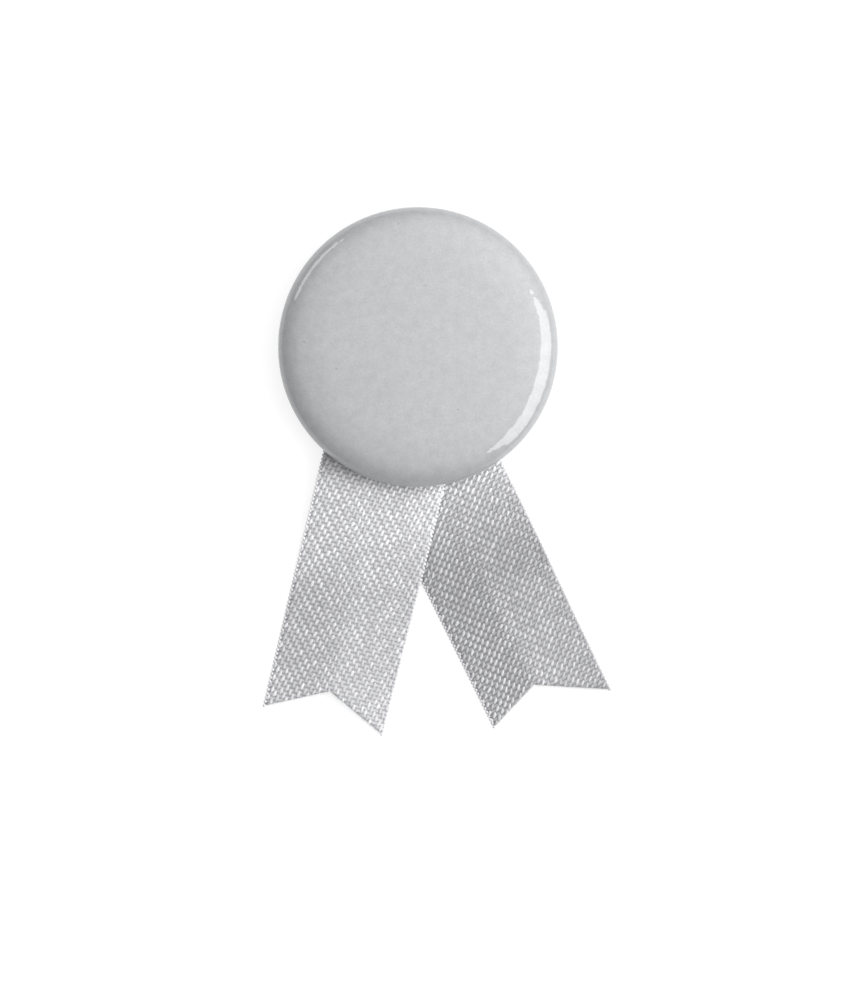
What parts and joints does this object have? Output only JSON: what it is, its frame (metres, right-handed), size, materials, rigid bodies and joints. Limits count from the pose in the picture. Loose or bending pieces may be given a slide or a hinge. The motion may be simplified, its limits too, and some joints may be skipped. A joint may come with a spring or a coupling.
{
  "type": "pin-back button badge with ribbon tails",
  "caption": "Round glossy light grey pin-back button badge with two notched satin ribbon tails behind its lower edge and a closed wire pin on its steel back.",
  "frame": {"origin": "middle of the back plate's flat underside, on the round button's axis; the badge lies face up on the plane Z = -2.9 mm", "axes": "+X to the right of the badge as it is read, +Y to its top, away from the tails, +Z out of its face"},
  "size_m": [0.0459, 0.0699, 0.0073],
  "materials": {
    "button_face": "plain light grey print on paper over tinplate, under clear gloss film",
    "back_metal": "tin-plated steel sheet, pressed, satin",
    "pin_metal": "nickel-plated spring wire, bright",
    "ribbon_satin": "coarse polyester satin ribbon, silver grey, woven floats that lean off the edge"
  },
  "bodies": {
    "root": {"button_shell": "button_face", "back_plate": "back_metal", "pin_wire": "pin_metal", "ribbon_left": "ribbon_satin", "ribbon_right": "ribbon_satin"}
  },
  "joints": []
}
